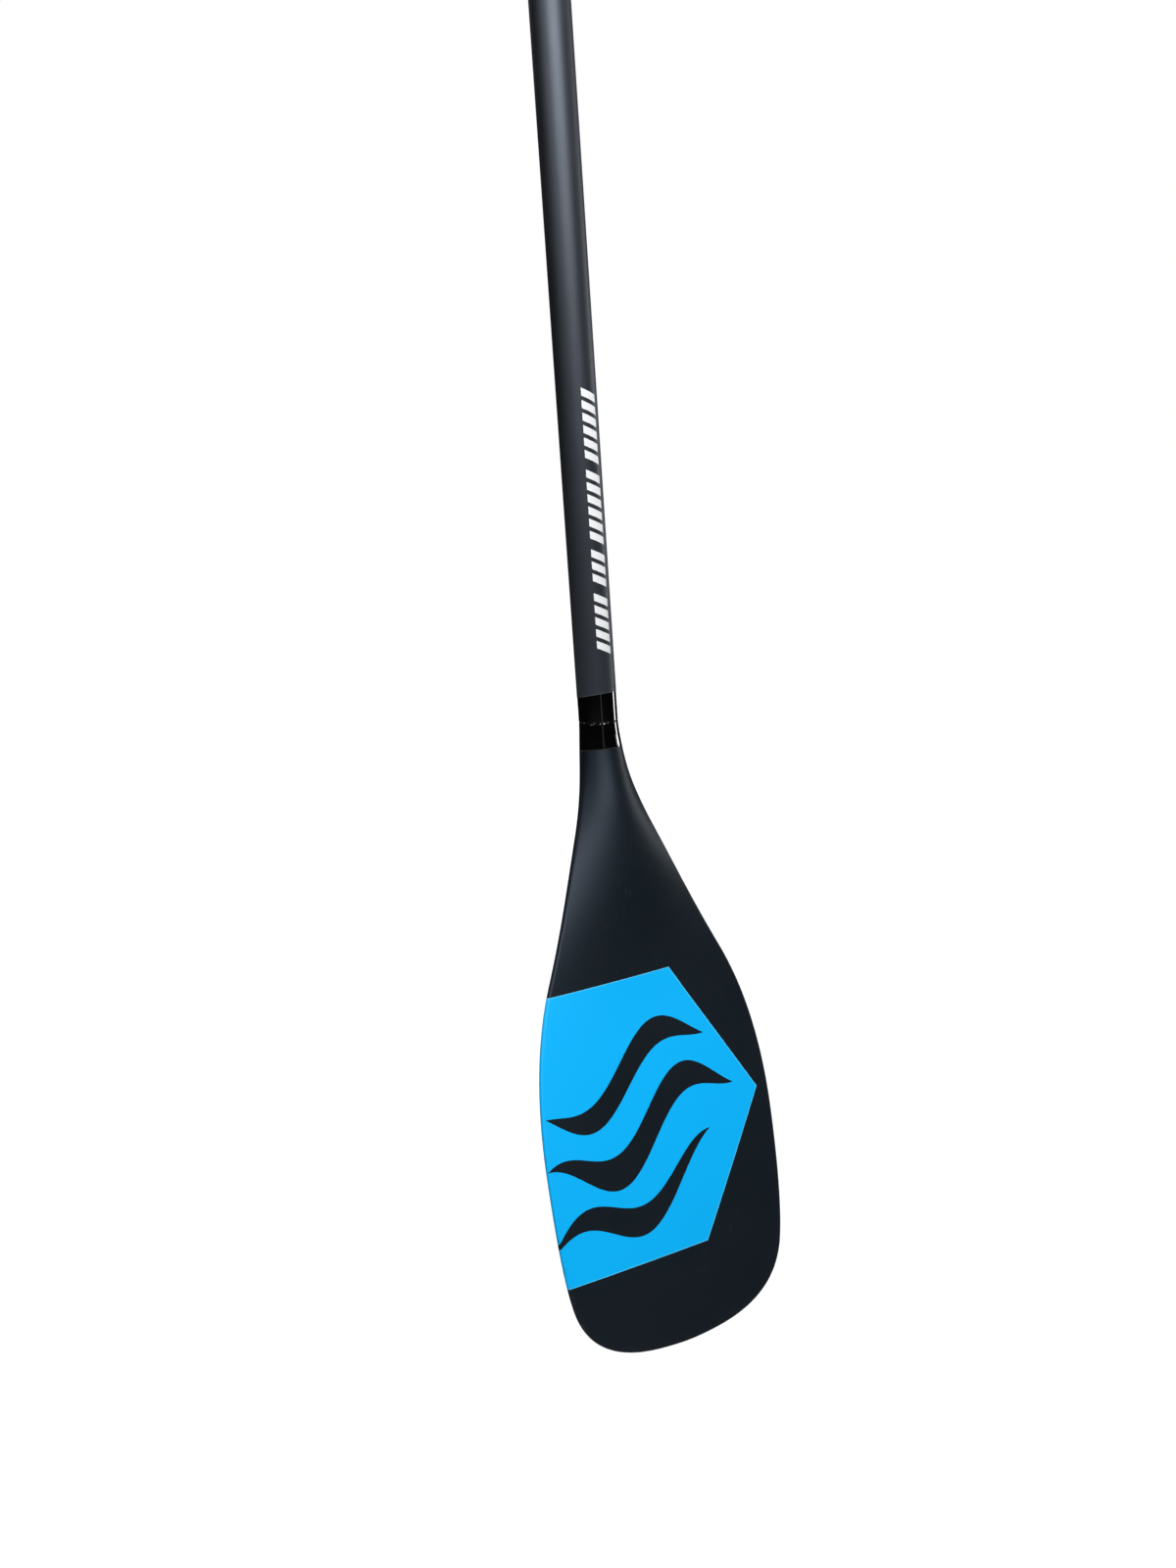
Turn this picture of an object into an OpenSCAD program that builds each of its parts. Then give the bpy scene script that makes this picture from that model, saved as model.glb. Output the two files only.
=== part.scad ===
// Two-piece adjustable stand-up paddle: raked blade, tube shaft, lever clamp, sliding T-grip handle.
// Millimetres, +Z up the shaft, the printed blade face towards -Y, the blade's width along X.
// The origin is on the shaft's axis, where a holder grips it, hold_z above the blade joint.

/* [Blade] */
// Width of the blade at its widest
blade_w = 196.6; // [180:0.1:230]
// Length of the blade and neck, from the joint to the tip, along their curve
blade_l = 467.2; // [420:0.1:500]
// Angle of the neck's bend towards the printed face, in degrees
neck_bend = 12.8; // [6:0.1:14]
// Length of the curve that makes the neck's bend
neck_bend_l = 54; // [40:1:70]
// Radius of the blade's slight curve back towards the shaft's direction
blade_arc_r = 3300; // [3000:100:9000]
// Thickness of the blade near its edge
edge_t = 4; // [3.6:0.1:6]
// Extra thickness of the blade at its middle
crown_t = 3; // [0:0.5:6]
// Thickness of each carbon skin
skin_t = 1; // [0.6:0.1:1.4]
// Width of the solid rim, where the two skins meet
rim_w = 4; // [3:0.5:6]
// Distance from the joint over which the ridge on the printed face fades out
front_ridge_l = 230; // [120:5:260]
// Distance from the joint over which the ridge on the back fades out
back_ridge_l = 130; // [90:5:200]

/* [Shaft] */
// Diameter of the shaft over its wrap
shaft_d = 29; // [28:0.5:32]
// Thickness of the matte wrap
wrap_t = 0.2; // [0.1:0.05:0.4]
// Bore of the shaft tube
shaft_bore_d = 26; // [25:0.5:26]
// Length of the shaft tube, from the joint to its top
shaft_l = 1128; // [900:1:1200]
// Height of the glossy bare tube between the joint and the wrap
bare_l = 19.8; // [10:0.1:40]
// Slant of the wrap's lower edge, in degrees
wrap_slant = 8; // [0:1:10]
// Direction in which that edge rises, in degrees from +X
wrap_slant_turn = -73; // [-180:1:180]
// Height of the glossy collar at the top of the blade
neck_collar_l = 20; // [15:1:24]
// Height above the joint of the place where a holder grips the shaft
hold_z = 400; // [200:10:600]

/* [Clamp] */
// Height of the clamp collar
clamp_h = 56; // [44:1:70]
// Outer diameter of the clamp collar
clamp_d = 40; // [38:1:46]
// Width of the slot in the collar
clamp_gap = 3; // [2:0.5:4]
// Diameter of the clamp bolt
bolt_d = 5; // [4:1:5]

/* [Handle] */
// Diameter of the handle tube
handle_d = 24; // [22:0.5:24]
// Bore of the handle tube
handle_bore_d = 21; // [19:0.5:21]
// Length of the handle tube
handle_l = 585; // [500:1:620]
// Height above the joint of the handle tube's lower end, at rest
handle_z = 745; // [700:1:760]
// Width of the T-grip
grip_w = 108; // [90:1:120]

/* [Hidden] */
$fn = 96;
eps = 1; // how far a cutting shape runs past the solid that it cuts

// Colours
matte_black = [0.09, 0.10, 0.11];
gloss_black = [0.02, 0.02, 0.022];
nylon_black = [0.06, 0.06, 0.065];
foam_cream = [0.88, 0.85, 0.74];
steel = [0.72, 0.73, 0.75];
panel_blue = [0.02, 0.60, 0.88];

// Shaft and tenon
wrap_r = shaft_d / 2;
tube_r = wrap_r - wrap_t;
bore_r = shaft_bore_d / 2;
tube_chamfer = 0.5;
tenon_up = 65;
tenon_down = 30;
tenon_root_r = 10.5;
tenon_bore_r = 7.5;
tenon_floor_t = 5;
plug_gap = 1;
plug_l = 30;

// Blade outline, as shares of the half width past the shaft and of the length: cubic curves through
// every third point, with the points between as handles
outline = [
    [0, 0], [0.012, 0.058], [0.113, 0.124],
    [0.223, 0.174], [0.408, 0.259], [0.496, 0.306],
    [0.706, 0.389], [0.899, 0.465], [1, 0.558],
    [1, 0.671], [1, 0.744], [0.985, 0.843],
    [0.914, 0.896], [0.80, 0.976], [0.38, 1],
    [-0.15, 1]
];
spans = (len(outline) - 1) / 3;
rings_per_span = 7;
columns = 18; // across the core
edge_columns = 3; // round each rim
tip_stop = 0.975; // share of the last span where the flat tip begins
edge_round = 2;
least_edge = 0.25;
least_row = 3; // least length of the first row below the collar
least_core = 0.12;
rim_slack = 0.01; // keeps the columns at the rim's inner side in the core
core_side_bevel = 8.75;
core_tip_bevel = 14;
core_tip_gap = 9;
core_least_w = 12;
ridge_round_start = 12; // from here to ridge_round_end the round section turns into a lens
ridge_round_end = 70;

// Guide bushing in the top of the shaft, with the key that runs in the handle's groove
bush_flange_t = 2;
bush_l = 80;
slot_l = 40;
slot_w = 1.6;
slide_gap = 0.05; // radial running clearance
key_w = 2.8;
key_h = 0.7;
key_l = 38;
key_root = 0.3; // how deep the key's root goes into the sleeve
groove_w = 3;
groove_h = 0.8;

// Clamp, in heights above the joint
clamp_r = clamp_d / 2;
clamp_lip = 10; // how far the collar rises over the shaft's top
clamp_z1 = shaft_l + clamp_lip;
clamp_z0 = clamp_z1 - clamp_h;
clamp_z = (clamp_z0 + clamp_z1) / 2;
clamp_chamfer = 1.5;
lip_gap = 0.6;
wrap_gap = 4; // between the wrap's top and the clamp
wrap_top = clamp_z0 - wrap_gap;
ear_t = 8;
ear_in = 14;
ear_out = 31;
ear_h = 34;
bolt_y = 25;
bolt_r = bolt_d / 2;
bolt_hole_gap = 0.1;
head_r = 4.5;
head_l = 5;
hex_r = 2.3;
hex_l = 3;
bolt_end_gap = 1.5; // how far the bolt ends inside the barrel pin
washer_r = 5.4;
washer_t = 1;
cam_r = 5.6;
cam_offset = 0.4;
cam_gap = 0.02;
cam_h = 30;
pin_r = 3.5;
pin_end_gap = 1;
ear_x = clamp_gap / 2 + ear_t;
pin_x = ear_x + cam_r + cam_offset + cam_gap;
lever_gap = 1.2;
lever_t = 4.2;
arm_in = clamp_r + lever_gap;
arm_out = arm_in + lever_t;
lever_h = 26;
lever_from = -95; // degrees round the collar
lever_to = 28;
lever_slot_gap = 0.6; // round the bolt, above and below
web_angle = -66;
web_l = 16;
web_t = 8.6;
web_side_in = 0.6; // how far the web's side lies inside the cam lobe
web_end_in = 0.5; // how far the web's top and bottom lie inside the lobes' ends
tab_l = 9;
tab_root = 3;
tab_in = 0.6; // how far the finger tab lies inside the arm's faces
tab_end_in = 0.5;

// Handle
handle_r = handle_d / 2;
handle_in_r = handle_bore_d / 2;
guide_r = bore_r - 2 * slide_gap;
guide_bore_r = 6;
guide_l = 24;
guide_chamfer = 1.5;
guide_spigot_l = 22;
ring_r = 0.9;
ring_gap = 0.02;
ring_out_r = bore_r - ring_gap;
ring_at = [7, 17]; // heights of the rings over the guide's lower end
ring_groove_w = 2;
handle_top = handle_z + handle_l;
handle_plug_l = 25;

// T-grip
socket_l = 39; // how deep the tube goes into the stem
grip_up = 43; // from the tube's top to the middle of the palm pad
grip_z0 = handle_top - socket_l;
grip_z = handle_top + grip_up;
handle_plug_gap = 6; // between the plug and the stem
handle_plug_z = grip_z0 - handle_plug_l - handle_plug_gap;
stem_r = 14.5;
stem_l = 40;
stem_chamfer = 1;
flare_r = 16.5;
flare_end_in = 6; // how far the flare ends under the bar's middle
flare_l = grip_z - grip_z0 - stem_l - flare_end_in;
bar_r = 8;
bar_l = 76;
palm_h = 18;
palm_d = 17;
palm_end = 0.62; // size of the palm pad near its ends, as a share of its middle
palm_droop = 7;
palm_rings = 24;
palm_sides = 40;
rivet_r = 2;
rivet_up = 14; // over the stem's lower end
rivet_z = grip_z0 + rivet_up;

// ---- Helpers ----

function mix(a, b, t) = a + (b - a) * t;
function clamp01(t) = min(max(t, 0), 1);
function ease(a, b, x) = let (t = clamp01((x - a) / (b - a))) t * t * (3 - 2 * t);
function bezier(p, t) =
    pow(1 - t, 3) * p[0] + 3 * pow(1 - t, 2) * t * p[1] + 3 * (1 - t) * t * t * p[2] + pow(t, 3) * p[3];

// Moves heights measured from the joint into the part's frame
module from_joint() translate([0, 0, -hold_z]) children();

module tube(r_out, r_in, z0, z1) {
    difference() {
        translate([0, 0, z0]) cylinder(r = r_out, h = z1 - z0);
        translate([0, 0, z0 - eps]) cylinder(r = r_in, h = z1 - z0 + 2 * eps);
    }
}

module rod(r, z0, z1) translate([0, 0, z0]) cylinder(r = r, h = z1 - z0);

// A bar of radius r along X
module cross_rod(r, x0, x1) translate([x0, 0, 0]) rotate([0, 90, 0]) cylinder(r = r, h = x1 - x0);

// ---- Blade surfaces ----

// Half width and distance from the joint at share t of one span of the outline
function outline_point(span, t) = let (
    p = bezier([for (k = [0:3]) outline[3 * span + k]], t)
) [max(tube_r + (blade_w / 2 - tube_r) * p[0], 0), blade_l * p[1]];

stations = [
    for (span = [0:spans - 1]) for (k = [0:rings_per_span - 1])
        outline_point(span, (span == spans - 1 ? tip_stop : 1) * k / rings_per_span),
    outline_point(spans - 1, tip_stop)
];
function width_at(s, k = 0) =
    stations[k + 1][1] >= s || k + 2 >= len(stations)
    ? mix(stations[k][0], stations[k + 1][0], (s - stations[k][1]) / (stations[k + 1][1] - stations[k][1]))
    : width_at(s, k + 1);

// The centre line: straight from the shaft, a bend at the neck, then a slow curve the other way
bend_r = neck_bend_l / (neck_bend * PI / 180);
function lean(s) =
    s < neck_bend_l ? neck_bend * s / neck_bend_l : neck_bend - (s - neck_bend_l) / blade_arc_r * 180 / PI;
function bend_point(a) = [0, -bend_r * (1 - cos(a)), -bend_r * sin(a)];
function centre(s) = let (a = lean(s)) s < neck_bend_l
    ? bend_point(a)
    : bend_point(neck_bend) + blade_arc_r * [0, cos(neck_bend) - cos(a), sin(a) - sin(neck_bend)];
// A point of the section at s: x across, h towards the printed face
function blade_point(s, x, h) = let (a = lean(s)) centre(s) + [x, -h * cos(a), h * sin(a)];

// Height of the blade's surface over its centre, on the face whose ridge fades out at ridge_l
function face_height(x, s, w, ridge_l) = let (
    u = abs(x) / w,
    round_share = clamp01((abs(x) - w + edge_round) / edge_round),
    crown = edge_t / 2 + crown_t / 2 * (1 - u * u),
    plate = crown * ease(0, ridge_round_end, s) * sqrt(1 - pow(round_share, 2)),
    ridge = tube_r * (1 - ease(neck_collar_l, ridge_l, s)),
    power = mix(0.5, 1, ease(ridge_round_start, ridge_round_end, s))
) max(plate + ridge * pow(max(1 - u * u, 0), power), least_edge);

// Half height of the foam core there, which thins out towards the rim and the tip
function core_height(x, s, w, ridge_l) = let (
    side = clamp01((w - rim_w - abs(x)) / core_side_bevel),
    tip = clamp01((blade_l - core_tip_gap - s) / core_tip_bevel)
) max(face_height(x, s, w, ridge_l) - skin_t, 0) * side * tip + least_core;

// Where the columns of a row lie across the blade
function core_columns(w) = [for (k = [0:columns]) (w - rim_w) * sin(180 * (k / columns - 0.5))];
function rim_columns(w) = [for (k = [1:edge_columns]) w - rim_w + rim_w * sin(90 * k / edge_columns)];
function full_columns(w) = let (rim = rim_columns(w)) concat(
    [for (k = [edge_columns - 1:-1:0]) -rim[k]], core_columns(w), rim
);

function skin_outer(p, ridge_l, side) = [
    for (x = full_columns(p[0])) blade_point(p[1], x, side * face_height(x, p[1], p[0], ridge_l))
];
function skin_inner(p, ridge_l, side) = [
    for (x = full_columns(p[0])) let (solid = abs(x) > p[0] - rim_w + rim_slack || !in_core(p))
        blade_point(p[1], x, solid ? 0 : side * core_height(x, p[1], p[0], ridge_l))
];
function in_core(p) = p[1] < blade_l - core_tip_gap && p[0] > core_least_w;

// A closed solid between two grids of points, each a list of rows of equal length
function quad(a, b, c, d) = [[a, b, c], [a, c, d]];
module slab(upper, lower) {
    rows = len(upper);
    n = len(upper[0]);
    points = concat([for (row = upper) each row], [for (row = lower) each row]);
    low = rows * n;
    polyhedron(points, [
        for (i = [0:rows - 2]) for (j = [0:n - 2]) let (k = i * n + j)
            each quad(k, k + 1, k + n + 1, k + n),
        for (i = [0:rows - 2]) for (j = [0:n - 2]) let (k = low + i * n + j)
            each quad(k, k + n, k + n + 1, k + 1),
        for (i = [0:rows - 2]) let (k = i * n)
            each quad(k, k + n, low + k + n, low + k),
        for (i = [0:rows - 2]) let (k = i * n + n - 1)
            each quad(k, low + k, low + k + n, k + n),
        for (j = [0:n - 2])
            each quad(j, low + j, low + j + 1, j + 1),
        for (j = [0:n - 2]) let (k = (rows - 1) * n + j)
            each quad(k, k + 1, low + k + 1, low + k)
    ]);
}

// The rows of the blade below its collar
blade_rows = concat(
    [[width_at(neck_collar_l), neck_collar_l]],
    [for (p = stations) if (p[1] > neck_collar_l + least_row) p]
);

// One skin, laid over the tenon's root
module blade_skin(ridge_l, side) difference() {
    slab(
        [for (p = blade_rows) side > 0 ? skin_outer(p, ridge_l, side) : skin_inner(p, ridge_l, side)],
        [for (p = blade_rows) side > 0 ? skin_inner(p, ridge_l, side) : skin_outer(p, ridge_l, side)]
    );
    rod(tenon_root_r, -tenon_down, eps);
}

// ---- Blade ----

module blade_front_skin() color(panel_blue) from_joint() blade_skin(front_ridge_l, 1);

module blade_back_skin() color(matte_black) from_joint() blade_skin(back_ridge_l, -1);

core_rows = [for (p = blade_rows) if (in_core(p)) p];

module blade_core() color(foam_cream) from_joint() difference() {
    slab(
        [for (p = core_rows) [
            for (x = core_columns(p[0])) blade_point(p[1], x, core_height(x, p[1], p[0], front_ridge_l))
        ]],
        [for (p = core_rows) [
            for (x = core_columns(p[0])) blade_point(p[1], x, -core_height(x, p[1], p[0], back_ridge_l))
        ]]
    );
    rod(tenon_root_r, -tenon_down, eps);
}

collar_steps = [0, tube_chamfer, 4, 8, 12, 16, neck_collar_l];
function collar_row(s, side, ridge_l) = let (w = width_at(s), share = 1 - (s == 0 ? tube_chamfer / w : 0)) [
    for (x = full_columns(w)) blade_point(s, x * share, side * face_height(x, s, w, ridge_l) * share)
];

// Glossy moulded collar at the top of the blade, with a small chamfer at the joint
module neck_collar() color(gloss_black) from_joint() difference() {
    slab([for (s = collar_steps) collar_row(s, 1, front_ridge_l)],
        [for (s = collar_steps) collar_row(s, -1, back_ridge_l)]);
    rod(tenon_root_r, -2 * neck_collar_l, eps);
}

// Carbon tenon: its root is bonded into the blade and its upper end into the shaft
module blade_tenon() color(gloss_black) from_joint() difference() {
    union() {
        rod(tenon_root_r, -tenon_down, 0);
        rod(bore_r, 0, tenon_up);
    }
    rod(tenon_bore_r, tenon_floor_t - tenon_down, tenon_up + eps);
}

// ---- Shaft ----

module main_shaft() color(gloss_black) from_joint() difference() {
    union() {
        cylinder(r1 = tube_r - tube_chamfer, r2 = tube_r, h = tube_chamfer);
        rod(tube_r, tube_chamfer, shaft_l);
    }
    rod(bore_r, -eps, shaft_l + eps);
    translate([-slot_w / 2, -shaft_d, shaft_l - slot_l]) cube([slot_w, 2 * shaft_d, slot_l + eps]);
}

// Matte wrap over the shaft; its lower edge is cut at a slant
module shaft_wrap() color(matte_black) from_joint() difference() {
    tube(wrap_r, tube_r, bare_l / 2, wrap_top);
    translate([0, 0, bare_l]) rotate([0, -wrap_slant, wrap_slant_turn])
        translate([-shaft_d, -shaft_d, -shaft_d]) cube([2 * shaft_d, 2 * shaft_d, shaft_d]);
}

module shaft_plug() color(foam_cream) from_joint() translate([0, 0, tenon_up + plug_gap])
    rod(bore_r, 0, plug_l);

// Guide bushing: a slit sleeve under a flange, with a key that keeps the handle from turning
module shaft_bushing() color(nylon_black) from_joint() {
    difference() {
        union() {
            rod(bore_r, shaft_l - bush_l, shaft_l);
            rod(tube_r, shaft_l, shaft_l + bush_flange_t);
        }
        rod(handle_r + slide_gap, shaft_l - bush_l - eps, shaft_l + bush_flange_t + eps);
        translate([-slot_w / 2, 0, shaft_l - slot_l]) cube([slot_w, shaft_d, slot_l + bush_flange_t + eps]);
    }
    translate([-key_w / 2, -handle_r - slide_gap - key_root, shaft_l - slot_l])
        cube([key_w, key_h + key_root, key_l]);
}

// ---- Clamp ----

module clamp_collar() color(nylon_black) from_joint() difference() {
    union() {
        rod(clamp_r, clamp_z0 + clamp_chamfer, clamp_z1 - clamp_chamfer);
        translate([0, 0, clamp_z0]) cylinder(r1 = clamp_r - clamp_chamfer, r2 = clamp_r, h = clamp_chamfer);
        translate([0, 0, clamp_z1 - clamp_chamfer])
            cylinder(r1 = clamp_r, r2 = clamp_r - clamp_chamfer, h = clamp_chamfer);
        translate([-ear_x, ear_in, clamp_z - ear_h / 2]) cube([2 * ear_x, ear_out - ear_in, ear_h]);
    }
    rod(tube_r, clamp_z0 - eps, shaft_l + bush_flange_t);
    rod(handle_r + lip_gap, clamp_z0, clamp_z1 + eps);
    translate([-clamp_gap / 2, 0, clamp_z0 - eps]) cube([clamp_gap, 2 * clamp_r, clamp_h + 2 * eps]);
    translate([0, bolt_y, clamp_z]) cross_rod(bolt_r + bolt_hole_gap, -ear_x - eps, ear_x + eps);
}

// Everything on one side of a line through the axis, as far as the lever reaches
module half_space(angle, side) rotate(angle) translate([-2 * arm_out, side > 0 ? 0 : -2 * arm_out, -eps])
    cube([4 * arm_out, 2 * arm_out, lever_h + 2 * eps]);

// Cam lever: two lobes on the pin, and an arm that lies round the collar
module clamp_lever() color(nylon_black) from_joint() translate([0, 0, clamp_z]) difference() {
    union() {
        translate([pin_x - cam_offset, bolt_y, -cam_h / 2]) cylinder(r = cam_r, h = cam_h);
        // Web from the lobes to the arm
        translate([pin_x - cam_offset, bolt_y, web_end_in - cam_h / 2]) rotate(web_angle)
            translate([0, web_side_in - cam_r, 0]) cube([web_l, web_t, cam_h - 2 * web_end_in]);
        // Arm, kept in the sector from lever_from to lever_to
        translate([0, 0, -lever_h / 2]) difference() {
            cylinder(r = arm_out, h = lever_h);
            half_space(lever_to, 1);
            half_space(lever_from, -1);
        }
        // Finger tab at the arm's end
        rotate(lever_from) translate([arm_in + tab_in, -tab_l, tab_end_in - lever_h / 2])
            cube([lever_t - 2 * tab_in, tab_l + tab_root, lever_h - 2 * tab_end_in]);
    }
    translate([pin_x, bolt_y, -cam_h / 2 - eps]) cylinder(r = pin_r + slide_gap, h = cam_h + 2 * eps);
    // Slot that the bolt swings through
    translate([pin_x - 2 * cam_r, bolt_y - pin_r, -bolt_r - lever_slot_gap])
        cube([4 * cam_r, 4 * cam_r, 2 * bolt_r + 2 * lever_slot_gap]);
    // Room for the collar
    translate([0, 0, -cam_h]) cylinder(r = arm_in, h = 2 * cam_h);
}

// Barrel pin of the hinge; the bolt screws into it from the side
module clamp_pin() color(steel) from_joint() translate([0, bolt_y, clamp_z]) difference() {
    translate([pin_x, 0, pin_end_gap - cam_h / 2]) cylinder(r = pin_r, h = cam_h - 2 * pin_end_gap);
    cross_rod(bolt_r, 0, pin_x + pin_r + eps);
}

module clamp_bolt() color(steel) from_joint() translate([0, bolt_y, clamp_z]) {
    head_x = -ear_x - washer_t;
    difference() {
        union() {
            cross_rod(bolt_r, head_x, pin_x + pin_r - bolt_end_gap);
            cross_rod(head_r, head_x - head_l, head_x);
        }
        translate([head_x - head_l - eps, 0, 0]) rotate([0, 90, 0])
            cylinder(r = hex_r, h = hex_l + eps, $fn = 6);
    }
}

module clamp_washer() color(steel) from_joint() translate([0, bolt_y, clamp_z]) difference() {
    cross_rod(washer_r, -ear_x - washer_t, -ear_x);
    cross_rod(bolt_r + bolt_hole_gap, -ear_x - washer_t - eps, -ear_x + eps);
}

// ---- Handle ----

module handle_tube() color(matte_black) from_joint() difference() {
    tube(handle_r, handle_in_r, handle_z, handle_top);
    translate([-groove_w / 2, -handle_r - eps, handle_z - eps])
        cube([groove_w, groove_h + eps, handle_l + 2 * eps]);
    translate([0, 0, rivet_z]) rotate([90, 0, 0]) cylinder(r = rivet_r, h = 4 * handle_r, center = true);
}

module handle_guide() color(nylon_black) from_joint() difference() {
    union() {
        translate([0, 0, handle_z - guide_l])
            cylinder(r1 = guide_r - guide_chamfer, r2 = guide_r, h = guide_chamfer);
        rod(guide_r, handle_z - guide_l + guide_chamfer, handle_z);
        rod(handle_in_r, handle_z, handle_z + guide_spigot_l);
    }
    for (d = ring_at) translate([0, 0, handle_z - guide_l + d])
        tube(2 * guide_r, ring_out_r - 2 * ring_r, -ring_groove_w / 2, ring_groove_w / 2);
    rod(guide_bore_r, handle_z - guide_l - eps, handle_z + guide_spigot_l + eps);
}

module guide_rings() color(gloss_black) from_joint()
    for (d = ring_at) translate([0, 0, handle_z - guide_l + d])
        rotate_extrude() translate([ring_out_r - ring_r, 0]) circle(r = ring_r);

module handle_plug() color(foam_cream) from_joint()
    rod(handle_in_r, handle_plug_z, handle_plug_z + handle_plug_l);

// ---- T-grip ----

// Stem that the tube is bonded into, and the bar inside the palm pad
module grip_shape() {
    translate([0, 0, grip_z0]) cylinder(r1 = stem_r - stem_chamfer, r2 = stem_r, h = stem_chamfer);
    rod(stem_r, grip_z0 + stem_chamfer, grip_z0 + stem_l);
    translate([0, 0, grip_z0 + stem_l]) cylinder(r1 = stem_r, r2 = flare_r, h = flare_l);
    translate([0, 0, grip_z]) cross_rod(bar_r, -bar_l / 2, bar_l / 2);
}

module grip_core() color(nylon_black) from_joint() difference() {
    grip_shape();
    rod(handle_r, grip_z0 - eps, handle_top);
    translate([0, 0, rivet_z]) rotate([90, 0, 0]) cylinder(r = rivet_r, h = 4 * stem_r, center = true);
}

// Soft palm pad: rounded sections along X, smaller and lower towards its ends
function palm_ring(k) = let (
    a = -90 + 180 * (k + 0.5) / (palm_rings + 1),
    share = abs(sin(a)),
    size = mix(1, palm_end, pow(share, 2)) * sqrt(1 - pow(share, 5)),
    middle = grip_z - palm_droop * pow(share, 2)
) [
    for (j = [0:palm_sides - 1]) let (b = 360 * j / palm_sides)
        [grip_w / 2 * sin(a), palm_d * size * cos(b), middle + palm_h * size * sin(b)]
];

module palm_shape() {
    n = palm_sides;
    polyhedron([for (k = [0:palm_rings]) each palm_ring(k)], concat(
        [[for (j = [0:n - 1]) j]],
        [[for (j = [n - 1:-1:0]) palm_rings * n + j]],
        [for (k = [0:palm_rings - 1]) for (j = [0:n - 1]) let (a = k * n + j, b = k * n + (j + 1) % n)
            each [[b, a, a + n], [b, a + n, b + n]]]
    ));
}

module grip_pad() color(matte_black) from_joint() difference() {
    palm_shape();
    grip_shape();
}

module grip_rivet() color(steel) from_joint() translate([0, 0, rivet_z]) rotate([90, 0, 0])
    cylinder(r = rivet_r, h = 2 * stem_r, center = true);

blade_core();
blade_front_skin();
blade_back_skin();
neck_collar();
blade_tenon();
main_shaft();
shaft_wrap();
shaft_plug();
shaft_bushing();
clamp_collar();
clamp_lever();
clamp_pin();
clamp_bolt();
clamp_washer();
handle_tube();
handle_guide();
guide_rings();
handle_plug();
grip_core();
grip_pad();
grip_rivet();
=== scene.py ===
"""Looks of the adjustable stand-up paddle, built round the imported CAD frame. Metres, in the CAD frame.

The blade's printed face looks towards -Y, and the shaft runs along Z. The origin is where the shaft is held.
"""
import math

import bmesh
import bpy
import numpy as np
from mathutils import Matrix, Vector


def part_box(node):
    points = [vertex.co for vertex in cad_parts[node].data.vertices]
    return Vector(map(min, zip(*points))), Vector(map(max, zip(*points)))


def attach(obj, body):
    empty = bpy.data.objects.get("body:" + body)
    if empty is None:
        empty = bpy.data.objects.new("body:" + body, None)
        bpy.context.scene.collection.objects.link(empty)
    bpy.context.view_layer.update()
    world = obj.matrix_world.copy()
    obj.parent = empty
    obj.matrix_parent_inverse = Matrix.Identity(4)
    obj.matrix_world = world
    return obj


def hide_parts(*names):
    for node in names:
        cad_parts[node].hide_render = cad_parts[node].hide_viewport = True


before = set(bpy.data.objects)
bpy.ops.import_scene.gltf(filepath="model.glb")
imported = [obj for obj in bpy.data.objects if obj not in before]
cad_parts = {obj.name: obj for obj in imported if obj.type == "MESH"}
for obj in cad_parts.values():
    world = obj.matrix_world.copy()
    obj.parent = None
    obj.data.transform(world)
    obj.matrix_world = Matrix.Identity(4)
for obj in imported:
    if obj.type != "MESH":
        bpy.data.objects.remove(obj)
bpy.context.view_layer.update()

MM = 0.001

# ---- Places and sizes, from the CAD nodes ----


def low(node):
    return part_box(node)[0]


def high(node):
    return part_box(node)[1]


def width(node):
    return high(node).x - low(node).x


JOINT_Z = low("main_shaft").z  # where the blade's neck meets the shaft
TUBE_R = width("main_shaft") / 2
WRAP_R = width("shaft_wrap") / 2
WRAP_LOW = low("shaft_wrap").z
WRAP_TOP = high("shaft_wrap").z
TIP_Z = low("blade_back_skin").z
HALF_W = width("blade_front_skin") / 2
WRAP_SLANT = math.tan(math.radians(8))  # of the wrap's lower edge
WRAP_TURN = math.radians(-73)  # the direction in which that edge rises, from +X: the front, a little to the right
WRAP_TILT = (WRAP_SLANT * math.cos(WRAP_TURN), WRAP_SLANT * math.sin(WRAP_TURN))
WRAP_CUT = WRAP_LOW + WRAP_SLANT * WRAP_R  # height of that edge on the shaft's axis
COLLAR_L = 20 * MM
TENON_R = 10.5 * MM
SHAFT_BORE = 13 * MM
SLOT_L = 40 * MM
SLOT_HALF_W = 0.8 * MM
HANDLE_R = width("handle_tube") / 2
HANDLE_BORE = 10.5 * MM
GROOVE_HALF_W = 1.5 * MM
GROOVE_DEPTH = 0.8 * MM

# ---- The blade's shape, as the CAD source builds it ----

BLADE_L = 467.2 * MM
BEND = math.radians(12.8)  # how far the blade leans forward, reached over the first BEND_L
BEND_L = 54 * MM
ARC_R = 3.3  # radius of the gentle curve below that
EDGE_T = 4 * MM
CROWN_T = 3 * MM
SKIN_T = 1 * MM
EDGE_ROUND = 2 * MM
FRONT_RIDGE_L = 230 * MM
BACK_RIDGE_L = 130 * MM
RIDGE_ROUND = (12 * MM, 70 * MM)  # where the section changes from the round neck to the ridge
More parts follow.
